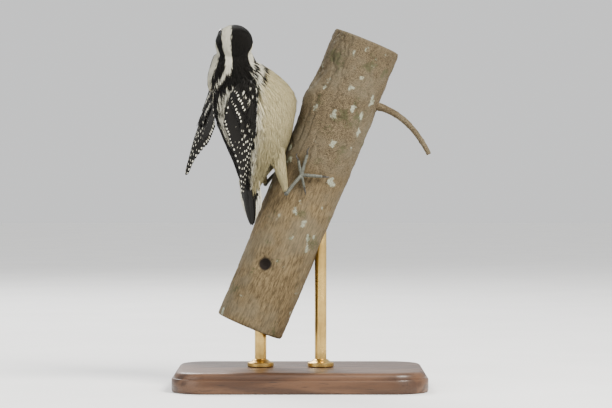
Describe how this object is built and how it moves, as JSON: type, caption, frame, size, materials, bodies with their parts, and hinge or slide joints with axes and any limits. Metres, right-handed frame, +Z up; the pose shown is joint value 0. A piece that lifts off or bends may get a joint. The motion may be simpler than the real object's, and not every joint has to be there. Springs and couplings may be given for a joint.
{
  "type": "woodpecker",
  "caption": "Still life-size downy woodpecker clinging upright to a leaning length of branch, seen from behind its right side, on rods over a flat wooden base.",
  "frame": {"origin": "centre of the underside of the stand's base", "axes": "+Z up; the branch leans towards +X; the bird clings to its -X side with its right side and back towards -Y"},
  "size_m": [0.175, 0.118, 0.2465],
  "materials": {
    "black_feather": "matt black feather vanes with white spots",
    "buff_feather": "soft buff-white body feathers",
    "mixed_feather": "black and white body feathers",
    "horn": "satin dark horn",
    "toe_skin": "grey scaled skin",
    "eye": "wet dark brown eye",
    "bark": "rough brown-grey bark with lichen",
    "stand_wood": "oiled walnut",
    "stand_brass": "satin brass"
  },
  "bodies": {
    "root": {"head": "black_feather", "neck": "mixed_feather", "trunk": "buff_feather", "tail": "black_feather", "wing_left": "black_feather", "wing_right": "black_feather", "leg_left": "buff_feather", "leg_right": "buff_feather", "foot_left": "toe_skin", "foot_right": "toe_skin", "claw_left_inner": "horn", "claw_left_middle": "horn", "claw_left_outer": "horn", "claw_left_hind": "horn", "claw_right_inner": "horn", "claw_right_middle": "horn", "claw_right_outer": "horn", "claw_right_hind": "horn", "bill_upper": "horn", "bill_lower": "horn", "eye_left": "eye", "eye_right": "eye", "perch_branch": "bark", "perch_twig": "bark", "stand_base": "stand_wood", "stand_rod_low": "stand_brass", "stand_rod_high": "stand_brass"}
  },
  "joints": []
}
